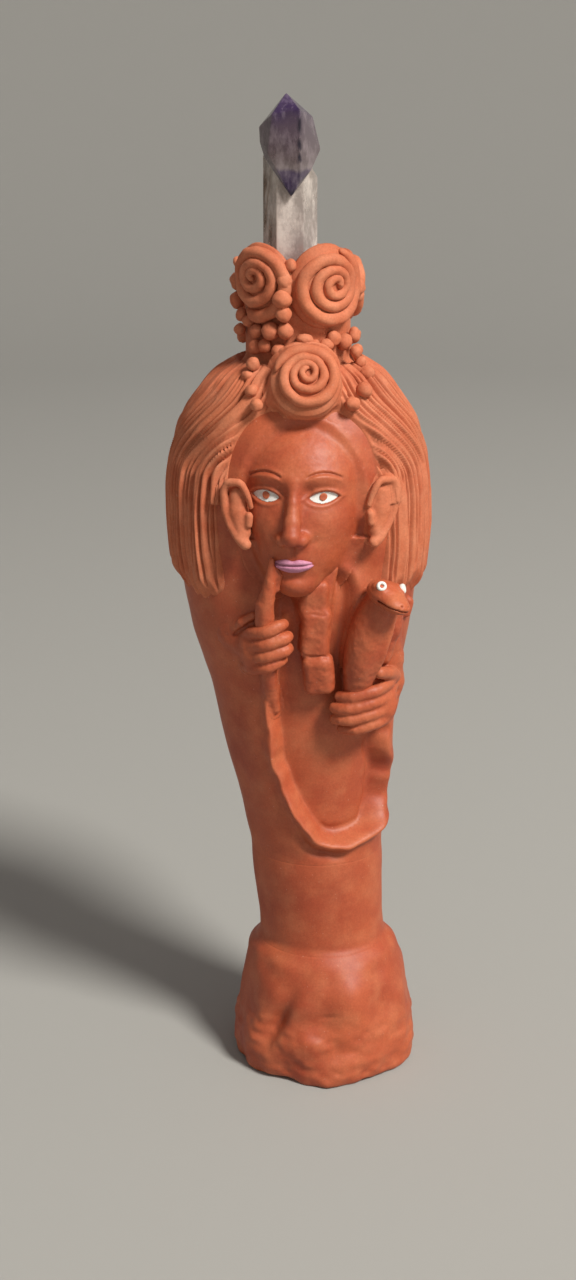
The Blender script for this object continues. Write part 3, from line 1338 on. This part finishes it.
def noisePush(tree, entry, shape):
    # pushes the surface along its normal by noise
    wave = addNode(tree, "ShaderNodeTexNoise", noise_dimensions="4D")
    feed(wave, {
        "Detail": 2.0, "Vector": fromNode(tree, "GeometryNodeInputPosition"),
        "Scale": entry.outputs["Lump Scale"], "W": entry.outputs["Seed"],
    })
    level = fromNode(tree, "ShaderNodeMath", {0: wave.outputs["Fac"], 1: 0.5}, operation="SUBTRACT")
    push = fromNode(tree, "ShaderNodeVectorMath", {
        0: fromNode(tree, "GeometryNodeInputNormal"),
        "Scale": times(tree, level, entry.outputs["Lump Height"]),
    }, operation="SCALE")
    return fromNode(tree, "GeometryNodeSetPosition", {"Geometry": shape, "Offset": push})


def finishTree(tree, entry, leave, shape):
    shape = fromNode(tree, "GeometryNodeSetShadeSmooth", {"Geometry": shape})
    shape = fromNode(tree, "GeometryNodeRealizeInstances", {"Geometry": shape})
    inputs = {"Geometry": shape, "Material": entry.outputs["Finish"]}
    feed(leave, {0: fromNode(tree, "GeometryNodeSetMaterial", inputs)})


def storedValue(tree, name, kind):
    return fromNode(tree, "GeometryNodeInputNamedAttribute", {"Name": name}, data_type=kind)


def ropeTree():
    # a rope of clay rolled along a path, as thick as the path's "thick" value
    tree, entry, leave = newTree("rolledRope", [
        ("Sides", "Int", 16), ("Lump Scale", "Float", 300.0), ("Lump Height", "Float", 0.0004),
        ("Seed", "Float", 1.0), ("Finish", "Material", None),
    ])
    thick = storedValue(tree, "thick", "FLOAT")
    path = fromNode(tree, "GeometryNodeMeshToCurve", {"Mesh": entry.outputs["Geometry"]})
    path = fromNode(tree, "GeometryNodeSetCurveRadius", {"Curve": path, "Radius": thick})
    ring = fromNode(
        tree, "GeometryNodeCurvePrimitiveCircle", {"Radius": 1.0, "Resolution": entry.outputs["Sides"]},
    )
    sweep = addNode(
        tree, "GeometryNodeCurveToMesh", {"Curve": path, "Profile Curve": ring, "Fill Caps": True},
    )
    if "Scale" in sweep.inputs:
        feed(sweep, {"Scale": thick})
    finishTree(tree, entry, leave, noisePush(tree, entry, sweep.outputs[0]))
    return tree


def ballTree():
    # a pressed ball on every point, each as big as the point's "size"
    tree, entry, leave = newTree("pressedBalls", [
        ("Rings", "Int", 14), ("Segments", "Int", 22), ("Lump Scale", "Float", 420.0),
        ("Lump Height", "Float", 0.0012), ("Seed", "Float", 4.0), ("Finish", "Material", None),
    ])
    ball = fromNode(tree, "GeometryNodeMeshUVSphere", {
        "Radius": 1.0, "Rings": entry.outputs["Rings"], "Segments": entry.outputs["Segments"],
    })
    copies = fromNode(tree, "GeometryNodeInstanceOnPoints", {
        "Points": entry.outputs["Geometry"], "Instance": ball,
        "Scale": storedValue(tree, "size", "FLOAT_VECTOR"),
        "Rotation": storedValue(tree, "turn", "FLOAT_VECTOR"),
    })
    solid = fromNode(tree, "GeometryNodeRealizeInstances", {"Geometry": copies})
    finishTree(tree, entry, leave, noisePush(tree, entry, solid))
    return tree


def grown(name, tree, points, edges, values, settings, finish):
    # runs a tree on a guide of points and keeps the result as plain points and faces
    guide = bpy.data.meshes.new(name)
    guide.from_pydata([tuple(v) for v in np.asarray(points) * mm], edges, [])
    for key, (kind, rows) in values.items():
        addValue(guide, key, rows, kind)
    piece = newObject(name, guide)
    modifier = piece.modifiers.new("shape", "NODES")
    modifier.node_group = tree
    for key, value in {**settings, "Finish": finish}.items():
        modifier[socketNumber(tree, key)] = value
    graph = bpy.context.evaluated_depsgraph_get()
    graph.update()
    mesh = bpy.data.meshes.new_from_object(piece.evaluated_get(graph), depsgraph=graph)
    bpy.data.objects.remove(piece)
    points = readRows(mesh.vertices, "co", 3).astype(float) / mm
    faces = [tuple(polygon.vertices) for polygon in mesh.polygons]
    bpy.data.meshes.remove(mesh)
    return points, faces


def coil(radius, turns, hand, phase, rise, lean, steps=46):
    # a rope that thickens as it unrolls: (across, up, out, thickness)
    t = np.linspace(0.0, turns, int(turns * steps))
    reach = 0.4 + 0.9 * t + 0.12 * t ** 2
    slope = 0.9 + 0.24 * t
    k = radius / (reach[-1] + 0.54 * slope[-1])
    distance = k * reach
    thick = 0.53 * k * slope
    ends = np.minimum(ease(t / 0.12), ease((turns - t) / 0.10))
    thick = thick * (0.25 + 0.75 * np.sqrt(ends))
    angle = phase + hand * 2 * math.pi * t
    out = rise * (1 - (distance / radius) ** 2)
    inward = (1 - distance / radius) ** 1.2
    across = distance * np.sin(angle) + lean[0] * inward
    up = distance * np.cos(angle) + lean[1] * inward
    return across, up, out, thick


rope = ropeTree()
balls = ballTree()


def roseBacking(settle, radius, rise):
    # the round of clay that the rope is laid on
    rings = [(0.90, -2.4), (0.93, -1.2), (0.90, -0.4), (0.70, 0.0), (0.45, 0.4), (0.2, 0.6)]
    made = []
    for share, out in rings:
        turns = np.linspace(0, 2 * math.pi, 40, endpoint=False)
        lift = out + rise * 0.6 * (1 - share ** 2)
        made.append([settle(share * radius * math.sin(a), share * radius * math.cos(a), lift) for a in turns])
    return roundSolid(np.array(made))


def addRose(name, node, settle, radius, turns, hand, phase, rise, lean, seed):
    across, up, out, thick = coil(radius, turns, hand, phase, rise, lean)
    rng = np.random.default_rng(seed)
    wave = np.interp(np.arange(len(up)), np.linspace(0, len(up), 14), rng.normal(0, 0.16, 14))
    points = [settle(a, u, o) for a, u, o in zip(across + wave, up + wave[::-1], out + 0.5 * wave)]
    edges = [(i, i + 1) for i in range(len(points) - 1)]
    points, faces = grown(
        name, rope, points, edges, {"thick": ("FLOAT", thick * mm)},
        {"Sides": 20, "Lump Scale": 260.0, "Lump Height": 0.0013, "Seed": float(seed)}, dryClay,
    )
    backing, backFaces = roseBacking(settle, radius, rise)
    faces = list(faces) + [tuple(len(points) + k for k in face) for face in backFaces]
    points = np.concatenate([np.asarray(points), backing])
    addPiece(clayObject(name, points, faces, dryClay), "terracotta_light", node)


def crownSettle(turn, height, tilt=0.0):
    def place(across, up, out):
        bend = turn + across / (crown["outer"] + 2.0)
        return onCrown(bend, height + up, 1.1 + out + tilt * up)
    return place


frontRose = Matrix.Translation((-8.2, -27.0, 260.2)) @ Matrix.Rotation(math.radians(64.0), 4, "X")


def frontSettle(across, up, out):
    return np.array(frontRose @ Vector((across, up, out)))


# name, node, place, radius, turns, hand, phase, rise, lean of the middle, seed
roses = [
    ("roseRight", "crown_rose_right", crownSettle(math.radians(-43), 28.0, 0.05),
     13.8, 3.05, 1, 3.4, 2.8, (0.5, 2.6), 61),
    ("roseLeft", "crown_rose_left", crownSettle(math.radians(29), 27.0, -0.02),
     14.8, 3.35, -1, 2.6, 2.4, (2.6, 0.9), 62),
    ("roseBackLeft", "crown_rose_back_left", crownSettle(math.radians(118), 24.6),
     13.0, 3.0, -1, 0.6, 2.4, (1.0, 1.5), 63),
    ("roseBackRight", "crown_rose_back_right", crownSettle(math.radians(-134), 24.6),
     13.0, 3.0, 1, 4.0, 2.4, (0.0, 2.0), 64),
    ("roseFront", "forehead_rose", frontSettle, 12.6, 3.35, -1, 0.9, 2.8, (0.4, 2.6), 65),
]


def makeRosePad():
    p, origin, step = clayGrid((-24, -42, 245), (8, -14, 274), 0.45)
    q = turnedPlaces(p, np.array(frontRose.to_3x3()), frontRose.translation)
    field = egg(q, (0, 0, -3.6), (11.9, 11.9, 5.0))
    field = meld(field, egg(q, (0, 1.5, -7.0), (10.5, 11.0, 6.0)), 2.0)
    field = seated(field, p, 2.2, 2.5, 3.0)
    addPiece(pressed("rosePad", field, origin, step, dryClay, 0.12, 67), "terracotta", "forehead_rose_pad")


# turn in degrees, height above the crown's foot, radius, how far it is pressed flat
crownBalls = [
    (-8, 34.0, 2.1, 1.0), (-13, 29.4, 2.6, 1.0), (-15, 23.4, 3.2, 0.95), (-14, 18.6, 2.7, 1.0),
    (-28, 12.6, 3.0, 0.95), (-13, 12.9, 2.8, 1.0), (6, 10.4, 2.6, 0.7), (28, 8.0, 2.3, 1.0),
    (37, 10.2, 2.4, 1.0), (52, 8.4, 2.4, 1.25), (67, 10.0, 2.1, 1.25), (82, 22.4, 2.1, 1.0),
    (-46, 12.2, 2.3, 1.0), (-70, 16.6, 2.1, 1.0), (-78, 11.4, 2.1, 1.0), (-84, 20.6, 2.6, 1.15),
    (-86, 27.0, 2.5, 1.2), (72, 25.4, 2.6, 1.1), (-60, 15.0, 2.2, 0.9), (-48, 6.8, 2.6, 1.0),
    (-35, 7.6, 2.4, 1.0), (-20, 6.4, 2.4, 1.0), (16, 8.8, 1.7, 0.9), (79, 4.6, 2.0, 0.9),
    (180, 12.0, 2.5, 1.0), (170, 8.0, 2.3, 1.0), (192, 9.0, 2.2, 1.0), (98, 8.6, 2.2, 1.0),
    (112, 7.0, 2.4, 1.0), (128, 8.0, 2.2, 1.0), (-100, 8.0, 2.3, 1.0), (-116, 7.4, 2.4, 1.0),
    (-133, 8.2, 2.2, 1.0), (172, 30.0, 2.3, 1.0), (178, 24.8, 2.5, 1.0), (-88, 33.0, 2.0, 1.0),
    (150, 9.4, 2.3, 1.0),
]
hairBalls = [
    (-22.6, 264.4, 2.3), (-24.6, 260.6, 2.1), (-24.0, 256.7, 2.2), (-22.8, 252.6, 2.3), (4.9, 267.6, 2.1),
    (6.2, 264.0, 2.1), (8.0, 260.5, 2.5), (8.2, 256.4, 2.7), (5.2, 252.6, 2.6),
]


def makeBalls():
    rng = np.random.default_rng(71)
    points, sizes, turns = [], [], []
    for turn, height, radius, tall in crownBalls:
        clear = 1.1 if 60 < abs(turn) < 90 or -16 < turn < -12 and height > 15 else 0.6
        points.append(onCrown(math.radians(turn), height, radius * clear))
        sizes.append([radius * rng.uniform(0.94, 1.06), radius * rng.uniform(0.9, 1.02), radius * tall])
        turns.append([rng.uniform(-0.25, 0.25), rng.uniform(-0.25, 0.25), math.radians(turn)])
    for x, z, radius in hairBalls:
        place, away = frontPlace(x, z)
        points.append(place + away * radius * 0.6)
        sizes.append([radius * rng.uniform(0.92, 1.06), radius * 0.95, radius * rng.uniform(0.9, 1.05)])
        turns.append([rng.uniform(-0.3, 0.3), 0.0, rng.uniform(-0.5, 0.5)])
    points, faces = grown(
        "balls", balls, points, [],
        {"size": ("FLOAT_VECTOR", np.array(sizes) * mm), "turn": ("FLOAT_VECTOR", turns)},
        {"Rings": 16, "Segments": 24, "Lump Scale": 330.0, "Lump Height": 0.0015, "Seed": 2.0}, dryClay,
    )
    nodes = ["crown_ball_%02d" % i for i in range(1, 14)] + ["hair_ball_%02d" % i for i in range(1, 7)]
    addPiece(clayObject("clayBalls", points, faces, dryClay), "terracotta", *nodes)


makeCrownRing()
makeSeat()
makeRosePad()
for rose in roses:
    addRose(*rose)
makeBalls()
print("crown done")


def gem(name, look):
    # clear stone with colour zones along its height, cloudy veils and stains
    finish, tree, place = newFinish(name)
    wave = noise(tree, place, 160.0, 5.0)
    up = addNode(tree, "ShaderNodeSeparateXYZ", {0: place}).outputs["Z"]
    ends = {"From Min": look["low"] * mm, "From Max": look["high"] * mm}
    up = fromNode(tree, "ShaderNodeMapRange", {"Value": up, **ends})
    up = fromNode(tree, "ShaderNodeMath", {0: wave, 1: look["wave"], 2: up}, operation="MULTIPLY_ADD")
    cloud = noise(tree, stretched(tree, place, (1.0, 1.0, 0.45)), look["veilScale"], 6.0, 0.68)
    veil = mask(tree, cloud, 0.46, 0.66)
    colour = mix(tree, times(tree, veil, look["veil"]), ramp(tree, up, look["zones"]), look["veilColour"])
    flank = times(tree, meshValue(tree, "flank"), look["flank"])
    colour = mix(tree, flank, colour, look["flankColour"])
    lines = noise(tree, stretched(tree, place, (0.12, 0.12, 1.0)), 900.0, 2.0)
    dress(tree, {
        "Base Color": mix(tree, meshValue(tree, "stain"), colour, look["stain"]),
        "Transmission Weight": spanned(tree, veil, look["clear"], look["clear"] - look["veil"] * 0.75),
        "Roughness": spanned(tree, wave, look["rough"], look["rough"] + 0.22),
        "Normal": bumped(tree, lines, 0.22, 0.0003), "IOR": 1.54,
    })
    return finish


quartz = gem("clearQuartz", {
    "low": 296, "high": 331, "wave": 0.3, "veilScale": 170.0, "veil": 0.8, "veilColour": (0.59, 0.52, 0.48),
    "zones": [(0.0, (0.45, 0.34, 0.34)), (0.45, (0.53, 0.44, 0.41)), (0.9, (0.48, 0.41, 0.37))],
    "stain": (0.16, 0.085, 0.04), "clear": 0.5, "rough": 0.14,
    "flank": 0.35, "flankColour": (0.50, 0.46, 0.42),
})
amethyst = gem("amethystHead", {
    "low": 316, "high": 350, "wave": 0.2, "veilScale": 260.0, "veil": 0.35, "veilColour": (0.40, 0.34, 0.36),
    "zones": [
        (0.0, (0.030, 0.012, 0.06)), (0.36, (0.045, 0.018, 0.085)), (0.41, (0.24, 0.19, 0.19)),
        (0.48, (0.14, 0.095, 0.10)), (0.78, (0.115, 0.072, 0.11)), (0.93, (0.05, 0.022, 0.095)),
        (1.0, (0.10, 0.06, 0.15)),
    ],
    "stain": (0.012, 0.006, 0.022), "clear": 0.45, "rough": 0.04,
    "flank": 0.60, "flankColour": (0.26, 0.225, 0.235),
})


def faceted(name, corners, finish, stainAt, slot, node):
    # the hull of a crystal's corners, its edges worn a little
    form = bmesh.new()
    for corner in corners:
        form.verts.new([v * mm for v in corner])
    made = bmesh.ops.convex_hull(form, input=form.verts)
    bmesh.ops.delete(form, geom=made["geom_unused"] + made["geom_interior"], context="VERTS")
    bmesh.ops.dissolve_limit(form, angle_limit=math.radians(2.0), verts=form.verts, edges=form.edges)
    bmesh.ops.bevel(form, geom=list(form.edges), offset=0.28 * mm, segments=2, affect="EDGES", profile=0.6)
    bmesh.ops.triangulate(form, faces=form.faces)
    for _ in range(4):
        long = [edge for edge in form.edges if edge.calc_length() > 1.1 * mm]
        if not long:
            break
        bmesh.ops.subdivide_edges(form, edges=long, cuts=1)
        bmesh.ops.triangulate(form, faces=form.faces)
    mesh = bpy.data.meshes.new(name)
    form.to_mesh(mesh)
    form.free()
    mesh.shade_smooth()
    mesh.set_sharp_from_angle(angle=math.radians(24.0))
    mesh.materials.append(finish)
    x, y, z = readRows(mesh.vertices, "co", 3).T / mm
    stain = np.zeros(len(x))
    for sx, sy, sz, wide, tall, amount in stainAt:
        near = np.exp(-((x - sx) / wide) ** 2 - ((y - sy) / 6.0) ** 2 - ((z - sz) / tall) ** 2)
        stain += amount * near * np.clip(0.5 + 1.1 * lumps(x, y, z, 1.3, 81), 0, 1)
    addValue(mesh, "stain", np.clip(stain, 0, 1))
    flank = [min(1.0, max(0.0, abs(polygon.normal.x) * 1.6 - 0.5)) for polygon in mesh.polygons]
    addValue(mesh, "flank", flank, domain="FACE")
    addPiece(newObject(name, mesh), slot, node, ride="crystal")


stemCorners = []
for dx, dy, top in (
    (-9.1, 0.2, 329.6), (-4.6, -7.2, 329.0), (4.3, -7.4, 327.0), (9.0, -0.2, 322.6), (4.6, 7.1, 327.5),
    (-4.4, 7.0, 329.8),
):
    stemCorners.append((-13.2 + dx, dy, 262.6))
    stemCorners.append((-13.2 + dx * 0.99, dy, top))
stemCorners.append((-7.2, -2.0, 327.6))
headCorners = [
    (-14.6, -4.0, 349.2), (-10.3, -10.8, 344.2), (-19.2, -9.4, 342.8), (-23.4, -3.5, 338.6),
    (-23.2, -3.5, 334.0), (-21.7, -5.5, 329.2), (-13.0, -9.6, 317.0), (-10.3, -10.6, 321.8),
    (-6.4, -6.8, 325.4), (-3.4, -2.5, 331.6), (-6.0, -3.2, 341.8), (-18.5, 4.2, 341.0), (-8.5, 4.4, 342.0),
    (-18.5, 4.2, 330.0), (-8.5, 4.2, 329.0), (-13.0, 2.0, 321.0), (-20.6, -8.3, 330.6),
]
faceted("quartzStem", stemCorners, quartz, [
    (-21.5, -1.0, 322.0, 2.4, 7.0, 1.5), (-19.8, -4.5, 304.5, 2.6, 3.2, 1.8),
    (-22.0, -1.0, 311.0, 1.4, 9.0, 1.1), (-8.5, -6.5, 324.0, 3.0, 2.0, 0.5),
], "quartz", "quartz_stem")
faceted("amethystHead", headCorners, amethyst, [
    (-13.0, -9.5, 317.4, 1.4, 1.4, 1.6), (-10.3, -10.8, 334.0, 0.55, 12.0, 1.7),
    (-16.0, -9.5, 344.5, 3.0, 1.2, 0.5),
], "amethyst", "amethyst_head")
print("crystal done")


# in metres
dish = {
    "level": 1.5, "curve": 1.3, "steps": 16, "top": 2.2, "sides": 96, "colour": (0.335, 0.329, 0.314),
    "matt": 0.95,
}


def makeStage():
    # a wide pale dish: level under the figure, and it rises far off on every side
    level, curve, steps, sides = (dish[key] for key in ("level", "curve", "steps", "sides"))
    profile = [(level * share, 0.0) for share in (0.0, 1 / 3, 2 / 3, 1.0)]
    for i in range(1, steps + 1):
        a = math.pi / 2 * i / steps
        profile.append((level + curve * math.sin(a), curve * (1 - math.cos(a))))
    profile.append((level + curve, dish["top"]))
    points, faces = [(0.0, 0.0, 0.0)], []
    for radius, height in profile[1:]:
        for k in range(sides):
            a = 2 * math.pi * k / sides
            points.append((radius * math.sin(a), radius * math.cos(a), height))
    for k in range(sides):
        after = (k + 1) % sides
        faces.append((0, 1 + after, 1 + k))
        for row in range(len(profile) - 2):
            low, high = 1 + row * sides, 1 + (row + 1) * sides
            faces.append((low + k, low + after, high + after, high + k))
    mesh = bpy.data.meshes.new("floor")
    mesh.from_pydata(points, [], faces)
    mesh.shade_smooth()
    mesh.materials.append(plainFinish("paleCloth", dish["colour"], dish["matt"]))
    newObject("floor", mesh)


aim = Vector((0, 0, 0.18))


def areaLight(name, place, size, power, colour):
    data = bpy.data.lights.new(name, "AREA")
    data.shape = "DISK"
    data.size = size
    data.energy = power
    data.color = colour
    lamp = newObject(name, data)
    lamp.location = place
    lamp.rotation_euler = (aim - Vector(place)).to_track_quat("-Z", "Y").to_euler()


makeStage()
areaLight("key", (1.66, -1.62, 2.72), 0.85, 166.0, (1.0, 0.975, 0.91))
areaLight("fill", (-2.0, -1.2, 1.4), 1.8, 0.8, (1.0, 0.93, 0.94))
world = bpy.data.worlds.new("studio")
bpy.context.scene.world = world
world.use_nodes = True
feed(world.node_tree.nodes["Background"], {"Color": (1.0, 0.93, 0.92, 1), "Strength": 0.28})
bpy.context.scene.view_settings.view_transform = "Standard"

camera = bpy.data.cameras.new("camera")
camera.sensor_width = 36.0
camera.lens = 49.44
camera.clip_start = 0.01
camera.clip_end = 20.0
eye = newObject("camera", camera)
eye.location = (-0.014, -0.594, 0.3626)
lookingDown = 18.6
eye.rotation_euler = (math.radians(90.0 - lookingDown), 0.0, 0.0)
bpy.context.scene.camera = eye
